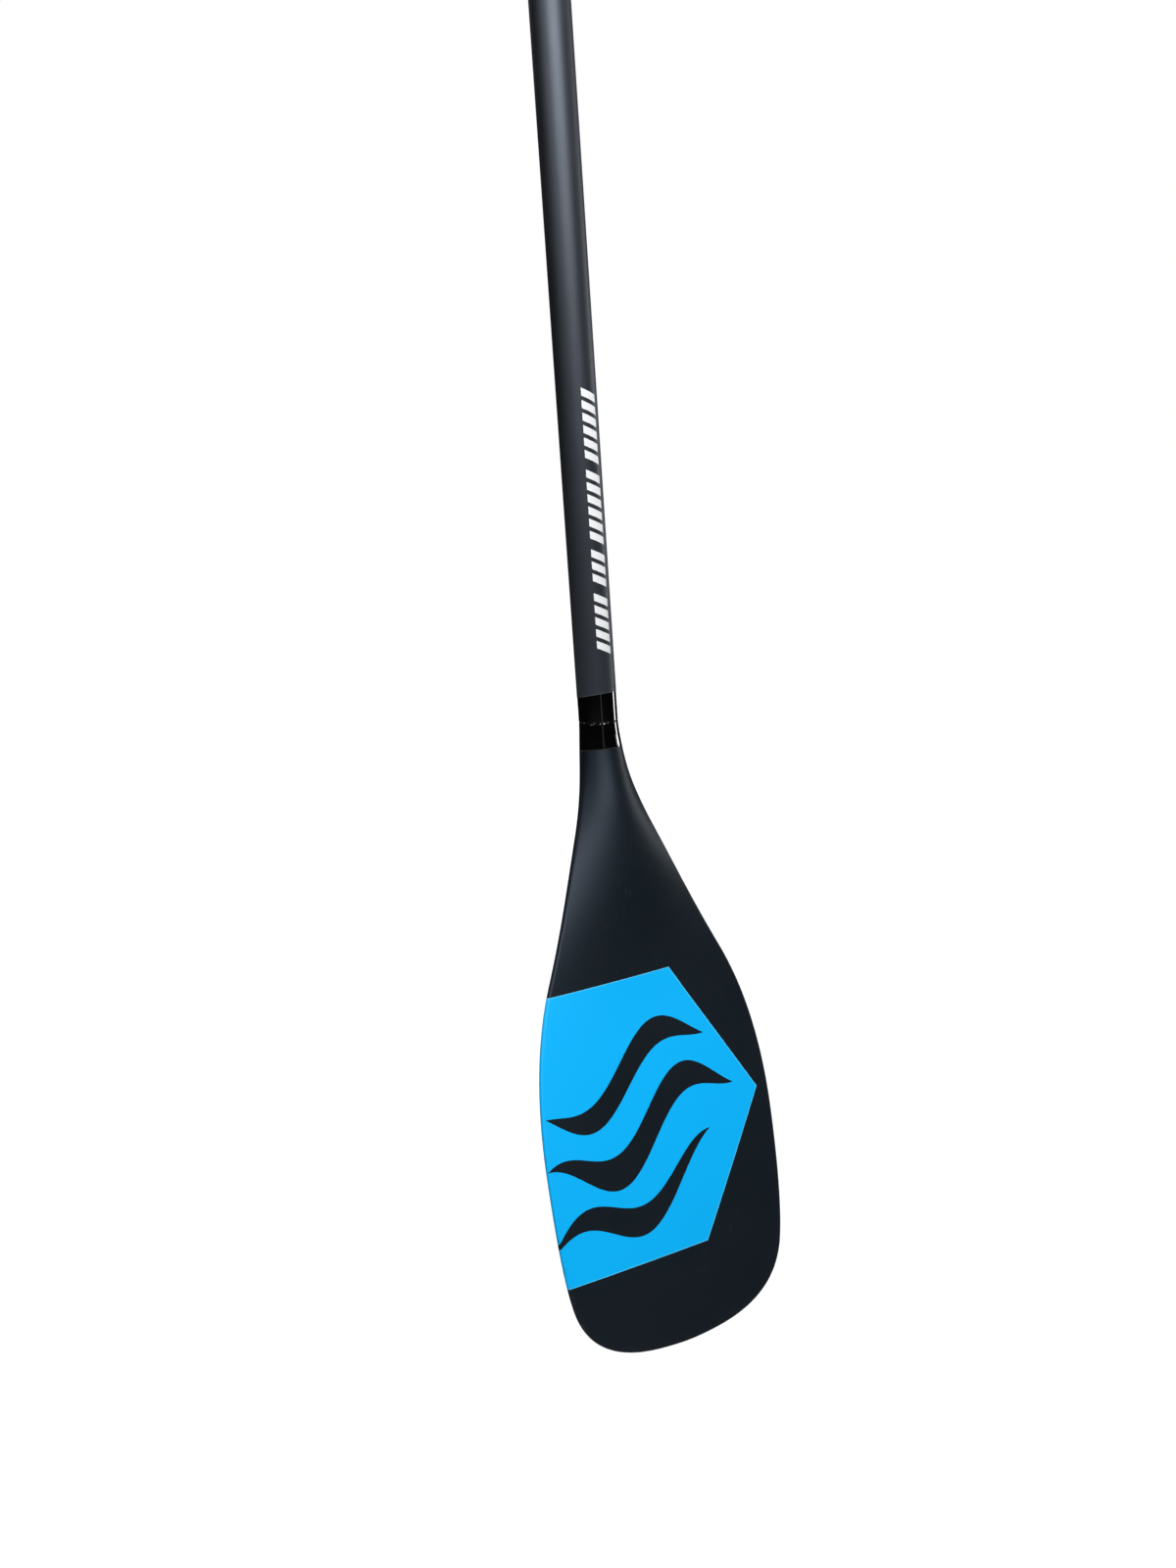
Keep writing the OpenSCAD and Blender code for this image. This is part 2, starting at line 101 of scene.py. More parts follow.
# Curve points of the outline, as (share of the half width beyond the tube, share of the length)
OUTLINE = np.array([
    [0, 0], [0.012, 0.058], [0.113, 0.124],
    [0.223, 0.174], [0.408, 0.259], [0.496, 0.306],
    [0.706, 0.389], [0.899, 0.465], [1, 0.558],
    [1, 0.671], [1, 0.744], [0.985, 0.843],
    [0.914, 0.896], [0.80, 0.976], [0.38, 1],
    [-0.15, 1],
])
SPANS = (len(OUTLINE) - 1) // 3
TIP_STOP = 0.985  # how far along the last curve the tip is cut straight
RIM_PER_SPAN = 300
ROWS_PER_SPAN = 34
BLADE_COLUMNS = 96
TIP_POINTS = 8


def ease(a, b, x):
    t = np.clip((x - a) / (b - a), 0, 1)
    return t * t * (3 - 2 * t)


def bezier(p, t):
    return (1 - t) ** 3 * p[0] + 3 * (1 - t) ** 2 * t * p[1] + 3 * (1 - t) * t * t * p[2] + t ** 3 * p[3]


def outline(points_per_span):
    """Half width and distance from the joint, along the whole outline."""
    points = []
    for span in range(SPANS):
        stop = TIP_STOP if span == SPANS - 1 else 1
        steps = np.linspace(0, stop, points_per_span, endpoint=False)
        points += [bezier(OUTLINE[3 * span:3 * span + 4], t) for t in steps]
    points = np.array(points + [bezier(OUTLINE[-4:], TIP_STOP)])
    return np.stack([TUBE_R + (HALF_W - TUBE_R) * points[:, 0], BLADE_L * points[:, 1]], 1)


def lean(s):
    """How far the blade's centre line leans at distance s from the joint, in radians."""
    return np.where(s < BEND_L, BEND * s / BEND_L, BEND - (s - BEND_L) / ARC_R)


def centre(s):
    """(y, z) of the blade's centre line at distance s from the joint."""
    a = lean(s)
    bend_r = BEND_L / BEND
    end_y, end_z = -bend_r * (1 - math.cos(BEND)), -bend_r * math.sin(BEND)
    y = np.where(s < BEND_L, -bend_r * (1 - np.cos(a)), end_y + ARC_R * (math.cos(BEND) - np.cos(a)))
    z = np.where(s < BEND_L, -bend_r * np.sin(a), end_z + ARC_R * (np.sin(a) - math.sin(BEND)))
    return y, z + JOINT_Z


def blade_points(s, x, h):
    """Points x across the blade and h towards the printed face, at distance s from the joint."""
    y, z = centre(s)
    a = lean(s)
    return np.stack([x + 0 * s, y - h * np.cos(a), z + h * np.sin(a)], -1)


RIM = outline(RIM_PER_SPAN)
TIP = np.linspace(RIM[-1, 0], 0, TIP_POINTS)  # the last few millimetres of the rim, straight across the tip
RIM = np.vstack([RIM, np.stack([TIP, np.full(len(TIP), RIM[-1, 1])], 1)])


def rim_distance(s, x):
    """Distance from each point of the blade to its outline."""
    best = np.full(s.shape, 1.0)
    for rim_x, rim_s in RIM:
        best = np.minimum(best, (np.abs(x) - rim_x) ** 2 + (s - rim_s) ** 2)
    return np.sqrt(best)


def rim_x_at(s):
    return np.interp(s, RIM[:, 1], RIM[:, 0])


def face_height(x, s, w, ridge_l):
    """Height of the blade's surface over its centre line, where it is w wide, if its ridge fades out at ridge_l."""
    u = np.abs(x) / w
    d = np.minimum(rim_distance(s, x), w - np.abs(x))
    round_share = np.clip(1 - d / EDGE_ROUND, 0, 1)
    plate = (EDGE_T / 2 + CROWN_T / 2 * (1 - u * u)) * ease(0, RIDGE_ROUND[1], s) * np.sqrt(1 - round_share ** 2)
    ridge = np.clip(1 - u * u, 0, 1) ** (0.5 + 0.5 * ease(*RIDGE_ROUND, s))
    return plate + TUBE_R * (1 - ease(COLLAR_L, ridge_l, s)) * ridge


# ---- Mesh building ----


def mesh_object(name, points, faces, material):
    mesh = bpy.data.meshes.new(name)
    mesh.from_pydata([tuple(p) for p in points], [], faces)
    mesh.validate()
    mesh.polygons.foreach_set("use_smooth", [True] * len(mesh.polygons))
    mesh.materials.append(material)
    obj = bpy.data.objects.new(name, mesh)
    bpy.context.scene.collection.objects.link(obj)
    return obj


def sharpen(obj, degrees=32):
    """Smooth shading that breaks at edges sharper than this."""
    bm = bmesh.new()
    bm.from_mesh(obj.data)
    bmesh.ops.recalc_face_normals(bm, faces=bm.faces)
    for e in bm.edges:
        e.smooth = len(e.link_faces) == 2 and e.calc_face_angle(0) < math.radians(degrees)
    bm.to_mesh(obj.data)
    bm.free()


def loft(name, rings, material, closed=True, degrees=32):
    """A solid through rings of equal length. closed joins the last ring to the first; otherwise both are capped."""
    rings = np.asarray(rings)
    count, n = rings.shape[:2]
    faces = []
    for i in range(count if closed else count - 1):
        a, b = i * n, (i + 1) % count * n
        faces += [(a + j, a + (j + 1) % n, b + (j + 1) % n, b + j) for j in range(n)]
    if not closed:
        faces += [tuple(range(n))[::-1], tuple(range((count - 1) * n, count * n))]
    obj = mesh_object(name, rings.reshape(-1, 3), faces, material)
    sharpen(obj, degrees)
    return obj


SIDES = 144


def circle(r, z, tilt=(0, 0)):
    """A ring of radius r round the shaft's axis; tilt is how much it rises along X and Y."""
    a = np.arange(SIDES) * 2 * math.pi / SIDES
    x, y = r * np.cos(a), r * np.sin(a)
    return np.stack([x, y, z + tilt[0] * x + tilt[1] * y], 1)


def place(piece, body, node):
    """The piece rides on the body and stands for the CAD node, which it hides."""
    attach(piece, body)
    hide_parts(node)


# ---- Materials ----


class Finish:
    """A procedural material, built with short calls. Sizes are in metres, and places in the frame's axes."""

    def __init__(self, name, roughness=0.5, metallic=0.0, specular=0.5, tint=(1, 1, 1)):
        self.material = bpy.data.materials.new(name)
        self.material.use_nodes = True
        self.tree = self.material.node_tree
        self.surface = self.tree.nodes["Principled BSDF"]
        self.surface.inputs["Roughness"].default_value = roughness
        self.surface.inputs["Metallic"].default_value = metallic
        self.surface.inputs["Specular IOR Level"].default_value = specular
        self.surface.inputs["Specular Tint"].default_value = (*tint, 1)
        self.at = self.add("ShaderNodeTexCoord").outputs["Object"]

    def add(self, kind, inputs=None, **settings):
        """A node with its settings, and each input fed from another node's output or with a value."""
        node = self.tree.nodes.new(kind)
        for key, value in settings.items():
            setattr(node, key, value)
        for key, value in (inputs or {}).items():
            self.feed(node.inputs[key], value)
        return node

    def feed(self, socket, value):
        if isinstance(value, bpy.types.NodeSocket):
            self.tree.links.new(value, socket)
        elif socket.type == "RGBA" and len(value) == 3:
            socket.default_value = (*value, 1)
        else:
            socket.default_value = value

    def math(self, operation, a, b=0.0, c=0.0, clamp=False):
        node = self.add("ShaderNodeMath", {0: a, 1: b, 2: c}, operation=operation, use_clamp=clamp)
        return node.outputs[0]

    def axes(self):
        parts = self.add("ShaderNodeSeparateXYZ", {0: self.at})
        return parts.outputs[0], parts.outputs[1], parts.outputs[2]

    def noise(self, scale, detail=3.0, stretch=(1, 1, 1), rough=0.5):
        """Noise from 0 to 1; scale is waves per metre, and a small stretch draws it out along that axis."""
        at = self.add("ShaderNodeVectorMath", {0: self.at, 1: stretch}, operation="MULTIPLY").outputs[0]
        return self.add(
            "ShaderNodeTexNoise", {"Vector": at, "Scale": scale, "Detail": detail, "Roughness": rough}
        ).outputs["Fac"]

    def ramp(self, value, low, high, to_low=0.0, to_high=1.0):
        return self.add(
            "ShaderNodeMapRange",
            {"Value": value, "From Min": low, "From Max": high, "To Min": to_low, "To Max": to_high},
        ).outputs[0]

    def mix(self, share, a, b):
        node = self.add("ShaderNodeMix", {0: share, 6: a, 7: b}, data_type="RGBA")
        return node.outputs[2]

    def both(self, a, b):
        return self.math("MULTIPLY", a, b)

    def colour(self, value):
        self.feed(self.surface.inputs["Base Color"], value)

    def roughness(self, value):
        self.feed(self.surface.inputs["Roughness"], value)

    def coat(self, weight, roughness, ior):
        self.surface.inputs["Coat Weight"].default_value = weight
        self.surface.inputs["Coat Roughness"].default_value = roughness
        self.surface.inputs["Coat IOR"].default_value = ior

    def bump(self, height, distance, strength=1.0):
        previous = self.surface.inputs["Normal"].links
        inputs = {"Height": height, "Distance": distance, "Strength": strength}
        if previous:
            inputs["Normal"] = previous[0].from_socket
        self.feed(self.surface.inputs["Normal"], self.add("ShaderNodeBump", inputs).outputs[0])


def twill(f, pitch, tube_r=None):
    """A 2x2 twill weave, from 0 to 1, in the X-Z plane or wrapped round a tube: tows that pass over each other."""
    x, y, z = f.axes()
    if tube_r:
        x = f.math("MULTIPLY", f.math("ARCTAN2", x, f.math("MULTIPLY", y, -1)), tube_r)
    along = f.math("MULTIPLY", x, 1 / pitch)
    down = f.math("MULTIPLY", z, 1 / pitch)
    step = f.math("FRACT", f.math("MULTIPLY", f.math("ADD", f.math("FLOOR", along), f.math("FLOOR", down)), 0.25))
    over = f.math("LESS_THAN", step, 0.49)
    warp = f.math("SINE", f.math("MULTIPLY", f.math("FRACT", along), math.pi))
    weft = f.math("SINE", f.math("MULTIPLY", f.math("FRACT", down), math.pi))
    return f.add("ShaderNodeMix", {0: over, 2: weft, 3: warp}, data_type="FLOAT").outputs[0]


WHITE_INK = (0.95, 0.96, 0.97)
CUT_LINE = 0.4 * MM  # the pale line of the film's cut edge
COOL = (0.70, 0.80, 1.0)  # the blue-grey sheen of the matte black surfaces

# The dashes: groups of slanted bars that run up the front of the shaft
DASH_LOW = JOINT_Z + 52 * MM
DASH_GROUPS = ((0, 5), (48 * MM, 3), (78 * MM, 6), (134 * MM, 6))  # (height over DASH_LOW, bars)
DASH_PITCH = 8.5 * MM
DASH_SHARE = 0.64  # of the pitch that is bar
DASH_HALF_H = 5.8 * MM
DASH_SLANT = 0.45
DASH_TURN = math.radians(3.5)  # where the row's lower end lies, from -Y towards +X
DASH_TWIST = math.radians(16)  # how far the row turns round the shaft in a metre


def dashes(f):
    """Share of white ink at a point of the wrap."""
    x, y, z = f.axes()
    turn = f.math("ARCTAN2", x, f.math("MULTIPLY", y, -1))
    up = f.math("SUBTRACT", z, DASH_LOW)
    middle = f.math("MULTIPLY_ADD", up, DASH_TWIST, DASH_TURN)
    across = f.math("MULTIPLY", f.math("SUBTRACT", turn, middle), WRAP_R)
    band = f.math("LESS_THAN", f.math("ABSOLUTE", across), DASH_HALF_H)
    along = f.math("MULTIPLY_ADD", across, DASH_SLANT, up)
    shown = 0.0
    for start, bars in DASH_GROUPS:
        phase = f.math("DIVIDE", f.math("SUBTRACT", along, start), DASH_PITCH)
        group = f.both(f.math("GREATER_THAN", phase, 0.0), f.math("LESS_THAN", phase, float(bars)))
        bar = f.math("LESS_THAN", f.math("FRACT", phase), DASH_SHARE)
        shown = f.math("ADD", shown, f.both(group, bar), clamp=True)
    return f.both(band, shown)


def wrap_finish():
    """Matte wrap of the shaft: a dark blue-grey film with a fine grain and a row of slanted white dashes."""
    f = Finish("shaft_wrap_film", specular=1.0, tint=COOL)
    cloud = f.noise(22, 2)
    grain = f.noise(1900, 2, (1, 1, 0.35))
    streak = f.noise(420, 2, (1, 1, 0.02))
    film = f.mix(f.ramp(cloud, 0.3, 0.7), (0.0045, 0.0055, 0.0070), (0.0060, 0.0072, 0.0090))
    film = f.mix(f.ramp(streak, 0.35, 0.75, 0, 0.35), film, (0.0035, 0.0042, 0.0055))
    ink = dashes(f)
    x, y, z = f.axes()
    over_cut = f.math("MULTIPLY_ADD", y, -WRAP_TILT[1], f.math("MULTIPLY_ADD", x, -WRAP_TILT[0], z))
    over_cut = f.math("SUBTRACT", over_cut, WRAP_CUT)
    film = f.mix(f.math("LESS_THAN", over_cut, CUT_LINE), film, (0.075, 0.08, 0.085))
    f.colour(f.mix(ink, film, WHITE_INK))
    f.roughness(f.ramp(f.math("ADD", grain, cloud), 0.6, 1.4, 0.45, 0.53))
    f.coat(0.4, 0.48, 1.5)
    f.bump(grain, 0.00002, 0.5)
    f.bump(ink, 0.00003, 0.6)
    return f.material


GLUE_LINE = (0.6 * MM, 1.0 * MM)  # the joint's dull glue, full up to here and gone from there; it has shiny drops
TOWS_ROUND_SHAFT = 40
TOWS_ROUND_HANDLE = 28


def gloss_finish():
    """Bare lacquered carbon: near black, with the weave just visible under the gloss."""
    f = Finish("lacquered_carbon", specular=1.0)
    weave = twill(f, 2 * math.pi * TUBE_R / TOWS_ROUND_SHAFT, TUBE_R)
    f.colour(f.mix(weave, (0.0003, 0.0003, 0.0005), (0.0012, 0.0012, 0.0015)))
    smear = f.noise(60, 4)
    f.roughness(f.ramp(smear, 0.3, 0.8, 0.04, 0.11))
    f.coat(1.0, 0.03, 2.0)
    f.bump(f.noise(90, 2, (1, 1, 0.3)), 0.00002, 0.3)
    _, _, z = f.axes()
    off_seam = f.math("ABSOLUTE", f.math("SUBTRACT", z, JOINT_Z))
    glue = f.ramp(off_seam, *GLUE_LINE, 1.0, 0.0)
    drops = f.ramp(f.noise(450, 1), 0.50, 0.58)
    shine = f.math("MULTIPLY_ADD", glue, f.math("SUBTRACT", drops, 1.0), 1.0)
    f.feed(f.surface.inputs["Coat Weight"], shine)
    f.feed(f.surface.inputs["Specular IOR Level"], shine)
    return f.material


BLADE_BLACK = (0.0022, 0.0052, 0.0078)
BLADE_GREY = (0.0040, 0.0075, 0.0105)


def blade_black(f):
    """Matte moulded skin: fine grain, cloudy variation, hair scratches and wear along the rim. Its colour and wear."""
    cloud = f.noise(9, 3)
    grain = f.noise(2400, 2)
    base = f.mix(f.ramp(cloud, 0.3, 0.7), BLADE_BLACK, BLADE_GREY)
    rim = f.add("ShaderNodeAttribute", attribute_name="rim", attribute_type="GEOMETRY").outputs["Fac"]
    rubbed = f.both(rim, f.ramp(f.noise(260, 4, rough=0.7), 0.50, 0.62))
    scratch = f.both(f.ramp(f.noise(900, 1, (1, 1, 0.012)), 0.70, 0.74), f.ramp(f.noise(14, 1), 0.5, 0.65))
    base = f.mix(f.math("MULTIPLY", scratch, 0.18), base, (0.06, 0.065, 0.07))
    base = f.mix(f.math("MULTIPLY", rubbed, 0.55), base, (0.045, 0.047, 0.05))
    f.bump(grain, 0.000015, 0.5)
    f.bump(f.noise(120, 2), 0.00005, 0.35)
    rough = f.ramp(f.math("ADD", cloud, grain), 0.6, 1.4, 0.40, 0.50)
    f.roughness(f.math("MULTIPLY_ADD", rubbed, 0.2, rough))
    return base, rubbed


# The printed panel's corners, (x, z from the joint) in millimetres, clockwise seen from the front; its left side is
# past the blade's edge
PANEL_CORNERS = [(-150, -188), (24, -184), (87, -289), (25, -391), (-150, -393)]
PANEL_BLUE = (0.0008, 0.44, 0.93)
PANEL_DEEP_BLUE = (0.001, 0.36, 0.80)
PANEL_EDGE = (0.10, 0.60, 0.98)
PANEL_LINE = 0.5 * MM
# Wave ribbons: (middle height, wave height, half thickness, x of the middle, half length), in millimetres
RIBBONS = [(-244, 15, 12, -24, 70), (-290, 17, 14, -16, 82), (-337, 15, 11, -32, 72)]
RIBBON_WAVE = 118 * MM
RIBBON_RISE = 0.34
RIBBON_SHIFT = 0.02  # how far each wave is ahead of the next, in radians for a millimetre of height


def panel_distance(f, x, z):
    """How far inside the panel a point is, in metres."""
    inside = 1.0
    for (xa, za), (xb, zb) in zip(PANEL_CORNERS, PANEL_CORNERS[1:]):
        length = math.hypot(xb - xa, zb - za)
        nx, nz = (zb - za) / length, (xa - xb) / length
        offset = -(nx * xa + nz * za) * MM
        side = f.math("ADD", f.math("MULTIPLY_ADD", x, nx, offset), f.math("MULTIPLY", z, nz))
        inside = f.math("MINIMUM", inside, side)
    return inside


def ribbons(f, x, z):
    """Share of dark ribbon at a point: sine waves that rise to the right and taper to both ends."""
    dark = 0.0
    for middle, height, half, x_mid, x_half in RIBBONS:
        wave = f.math("SINE", f.math("MULTIPLY_ADD", x, 2 * math.pi / RIBBON_WAVE, middle * RIBBON_SHIFT))
        level = f.math("MULTIPLY_ADD", wave, height * MM, middle * MM)
        level = f.math("MULTIPLY_ADD", x, RIBBON_RISE, level)
        reach = f.math("DIVIDE", f.math("SUBTRACT", x, x_mid * MM), x_half * MM)
        taper = f.math("SUBTRACT", 1.0, f.math("MULTIPLY", reach, reach))
        off_level = f.math("ABSOLUTE", f.math("SUBTRACT", z, level))
        edge = f.math("SUBTRACT", f.math("MULTIPLY", taper, half * MM), off_level)
        dark = f.math("MAXIMUM", dark, f.math("GREATER_THAN", edge, 0.0))
    return dark


def printed_finish():
    """The blade's front: matte black with the blue panel, which wears off a little at the rim."""
    f = Finish("printed_blade_face", specular=0.36, tint=COOL)
    base, rubbed = blade_black(f)
    x, _, z = f.axes()
    z = f.math("SUBTRACT", z, JOINT_Z)
    inside = panel_distance(f, x, z)
    panel = f.both(f.math("GREATER_THAN", inside, 0.0), f.math("SUBTRACT", 1.0, ribbons(f, x, z)))
    blue = f.mix(f.ramp(f.noise(7, 2), 0.3, 0.7, 0, 0.12), PANEL_BLUE, PANEL_DEEP_BLUE)
    blue = f.mix(f.math("LESS_THAN", inside, PANEL_LINE), blue, PANEL_EDGE)
    ink = f.both(panel, f.math("SUBTRACT", 1.0, f.math("MULTIPLY", rubbed, 0.5)))
    f.colour(f.mix(ink, base, blue))
    f.bump(panel, 0.00002, 0.5)
    return f.material


BACK_TOW = 3 * MM


def back_finish():
    """The blade's back: matte black, with the weave faintly visible."""
    f = Finish("moulded_blade_back", specular=0.45, tint=COOL)
    base, _ = blade_black(f)
    weave = twill(f, BACK_TOW)
    f.colour(f.mix(f.math("MULTIPLY", weave, 0.6), base, (0.020, 0.022, 0.024)))
    f.bump(weave, 0.00004, 0.5)
    return f.material


# The length scale: a tick for each centimetre, and every fifth one twice as long
TICK_PITCH = 10 * MM
TICK_T = 0.7 * MM
TICK_HALF_L = 2.5 * MM
SCALE_X = 6.5 * MM


def handle_finish():
    """Satin carbon tube with a printed length scale on its front, beside the groove."""
    f = Finish("handle_tube_carbon")
    x, y, z = f.axes()
    weave = twill(f, 2 * math.pi * HANDLE_R / TOWS_ROUND_HANDLE, HANDLE_R)
    base = f.mix(weave, (0.009, 0.0095, 0.010), (0.017, 0.018, 0.019))
    step = f.math("DIVIDE", f.math("SUBTRACT", z, low("handle_tube").z), TICK_PITCH)
    tick = f.math("LESS_THAN", f.math("FRACT", step), TICK_T / TICK_PITCH)
    fifth = f.math("LESS_THAN", f.math("FRACT", f.math("DIVIDE", step, 5.0)), TICK_T / TICK_PITCH / 5)
    half_l = f.math("MULTIPLY_ADD", fifth, TICK_HALF_L, TICK_HALF_L)
    front = f.math("LESS_THAN", y, 0.0)
    from_scale = f.math("ABSOLUTE", f.math("SUBTRACT", x, SCALE_X))
    ink = f.both(f.both(tick, front), f.math("LESS_THAN", from_scale, half_l))
    f.colour(f.mix(ink, base, WHITE_INK))
    f.roughness(f.ramp(f.noise(300, 3, (1, 1, 0.1)), 0.3, 0.7, 0.30, 0.42))
    f.bump(weave, 0.00002, 0.3)
    return f.material


def plain_finish(name, dark, light, rough, scale, depth, metallic=0.0, stretch=(1, 1, 1)):
    """Two close colours in a soft cloud, with a fine moulded or brushed grain of that scale and depth."""
    f = Finish(name, metallic=metallic)
    cloud = f.noise(30, 3)
    grain = f.noise(scale, 3, stretch)
    f.colour(f.mix(f.ramp(cloud, 0.3, 0.7), dark, light))
    f.roughness(f.ramp(f.math("ADD", grain, cloud), 0.6, 1.4, rough - 0.06, rough + 0.06))
    f.bump(grain, depth, 0.6)
    return f.material


WRAP = wrap_finish()
GLOSS = gloss_finish()
PRINTED = printed_finish()
BACK = back_finish()
HANDLE = handle_finish()
NYLON = plain_finish("glass_filled_nylon", (0.012, 0.012, 0.013), (0.019, 0.019, 0.021), 0.46, 1500, 0.00006)
PALM = plain_finish("soft_palm_foam", (0.016, 0.017, 0.018), (0.026, 0.027, 0.029), 0.72, 900, 0.00018)
STEEL = plain_finish("brushed_bolt_steel", (0.42, 0.43, 0.44), (0.55, 0.56, 0.57), 0.28, 2500, 0.00002,
                     metallic=1.0, stretch=(0.05, 1, 1))
RUBBER = plain_finish("o_ring_rubber", (0.008, 0.008, 0.008), (0.014, 0.014, 0.014), 0.6, 1800, 0.00003)
FOAM = plain_finish("closed_cell_foam", (0.68, 0.64, 0.50), (0.78, 0.74, 0.60), 0.85, 700, 0.0003)

# ---- Blade ----


def skin(name, side, ridge_l, material):
    """One face of the blade as a closed shell: its outer surface, and an inner one that meets it at the rim."""
    rows = outline(ROWS_PER_SPAN)
    rows = rows[rows[:, 1] > COLLAR_L + 1 * MM]
    rows = np.vstack([[rim_x_at(COLLAR_L), COLLAR_L], rows])
    w, s = rows[:, :1], rows[:, 1:]
    x = w * np.sin(math.pi * (np.arange(BLADE_COLUMNS + 1) / BLADE_COLUMNS - 0.5))
    s = s + 0 * x
    outer = face_height(x, s, w, ridge_l)
    outer[:, [0, -1]] = 0
    outer[-1] = 0
    inner = np.clip(outer - SKIN_T, 0, None)
    count, n = x.shape
    top = np.arange(count * n).reshape(count, n)
    under = top + count * n
    under[:, [0, -1]] = top[:, [0, -1]]
    under[-1] = top[-1]
    points = np.concatenate([blade_points(s, x, side * h).reshape(-1, 3) for h in (outer, inner)])
    faces = []
    for i in range(count - 1):
        for j in range(n - 1):
            outside = (top[i, j], top[i, j + 1], top[i + 1, j + 1], top[i + 1, j])
            inside = (under[i, j], under[i + 1, j], under[i + 1, j + 1], under[i, j + 1])
            faces += [outside] if set(inside) == set(outside) else [outside, inside]
    for j in range(n - 1):
        faces.append(tuple(dict.fromkeys((top[0, j], under[0, j], under[0, j + 1], top[0, j + 1]))))
    faces = [tuple(int(corner) for corner in corners) for corners in faces]
    obj = mesh_object(name, points, faces, material)
    bm = bmesh.new()
    bm.from_mesh(obj.data)
    loose = [v for v in bm.verts if not v.link_faces]
    bmesh.ops.delete(bm, geom=loose, context="VERTS")
    bmesh.ops.recalc_face_normals(bm, faces=bm.faces)
    for e in bm.edges:
        e.smooth = e.calc_face_angle(0) < math.radians(50)
    bm.to_mesh(obj.data)
    bm.free()
    mark_rim(obj)
    return obj


WEAR_REACH = 1.6 * MM
WEAR_FROM, WEAR_FULL = JOINT_Z - 0.2, JOINT_Z - 0.4  # the neck stays unworn


def mark_rim(obj):
    """Stores how near the rim each point is, for the wear: 1 on the rim, 0 a few millimetres in."""
    co = np.zeros(len(obj.data.vertices) * 3)
    obj.data.vertices.foreach_get("co", co)
    co = co.reshape(-1, 3)
    _, zs = centre(RIM[:, 1])
    distance = np.full(len(co), 1.0)
    for w, z in zip(RIM[:, 0], zs):
        distance = np.minimum(distance, (np.abs(co[:, 0]) - w) ** 2 + (co[:, 2] - z) ** 2)
    layer = obj.data.attributes.new("rim", "FLOAT", "POINT")
    near = np.exp(-np.sqrt(distance) / WEAR_REACH) * ease(WEAR_FROM, WEAR_FULL, co[:, 2])
    layer.data.foreach_set("value", near.astype(np.float32))


# The collar's sections, in millimetres: distance from the joint, and how far the lip is drawn in
COLLAR_STEPS = ((0, 0.55), (0.12, 0.25), (0.45, 0.04), (0.9, 0), (3, 0), (6, 0), (9, 0), (12, 0), (15, 0), (18, 0),
                (19.5, 0), (19.8, 0.08), (20, 0.3))
COLLAR_COLUMNS = 64  # on each face


def neck_collar():
    """Glossy collar: the blade's section from the joint down, with a rounded lip at both ends and the tenon's bore."""
    turn = np.sin(math.pi * (np.arange(COLLAR_COLUMNS) / COLLAR_COLUMNS - 0.5))
    side = np.repeat([1, -1], COLLAR_COLUMNS)
    ridge_l = np.where(side > 0, FRONT_RIDGE_L, BACK_RIDGE_L)
    rings = []
    for distance, inset in COLLAR_STEPS:
        s = np.full(side.shape, distance * MM)
        w = float(rim_x_at(distance * MM))
        share = 1 - inset * MM / w
        x = w * np.concatenate([turn, -turn])
        h = side * face_height(x, s, w, ridge_l)
        rings.append(blade_points(s, x * share, h * share))
    first, last = rings[0], rings[-1]
    a = np.arctan2(first[:, 1], first[:, 0])
    for z in (last[:, 2], np.full(a.shape, first[:, 2].mean())):
        rings.append(np.stack([TENON_R * np.cos(a), TENON_R * np.sin(a), z], 1))
    return loft("neck_collar_gloss", rings, GLOSS, degrees=40)


place(skin("blade_printed_face", 1, FRONT_RIDGE_L, PRINTED), "paddle", "blade_front_skin")
place(skin("blade_power_face", -1, BACK_RIDGE_L, BACK), "paddle", "blade_back_skin")
place(neck_collar(), "paddle", "neck_collar")

# ---- Shaft ----

# The rounded edge at the joint: how far it is drawn in, and its height
TUBE_LIP = ((0.55 * MM, 0), (0.25 * MM, 0.12 * MM), (0.04 * MM, 0.45 * MM), (0, 0.9 * MM))
TUBE_TOP_LIP = 0.3 * MM
GLUE_GAP = 0.02 * MM  # between the tube and the film round it


def cut_with(obj, bm):
    """Takes the solid bm out of the piece."""
    mesh = bpy.data.meshes.new("cutter")
    bm.to_mesh(mesh)
    bm.free()
    cutter = bpy.data.objects.new("cutter", mesh)
    bpy.context.scene.collection.objects.link(cutter)
    modifier = obj.modifiers.new("cut", "BOOLEAN")
    modifier.operation, modifier.object, modifier.solver = "DIFFERENCE", cutter, "EXACT"
    depsgraph = bpy.context.evaluated_depsgraph_get()
    cut = bpy.data.meshes.new_from_object(obj.evaluated_get(depsgraph))
    obj.modifiers.clear()
    obj.data = cut
    bpy.data.objects.remove(cutter)
    sharpen(obj)


def shaft_tube():
    """Lacquered tube with rounded edges, slotted at its top for the clamp."""
    top = high("main_shaft").z
    profile = [(TUBE_R - inset, JOINT_Z + z) for inset, z in TUBE_LIP]
    profile += [(TUBE_R, top - TUBE_TOP_LIP), (TUBE_R - TUBE_TOP_LIP, top), (SHAFT_BORE, top), (SHAFT_BORE, JOINT_Z)]
    tube = loft("shaft_tube", [circle(r, z) for r, z in profile], GLOSS)
    past = 10 * MM
    size = Vector((2 * SLOT_HALF_W, 2 * (TUBE_R + past), SLOT_L + past))
    middle = Vector((0, 0, top - SLOT_L + size.z / 2))
    slot = bmesh.new()
    bmesh.ops.create_cube(slot, size=1, matrix=Matrix.Translation(middle) @ Matrix.Diagonal((*size, 1)))
    cut_with(tube, slot)
    return tube


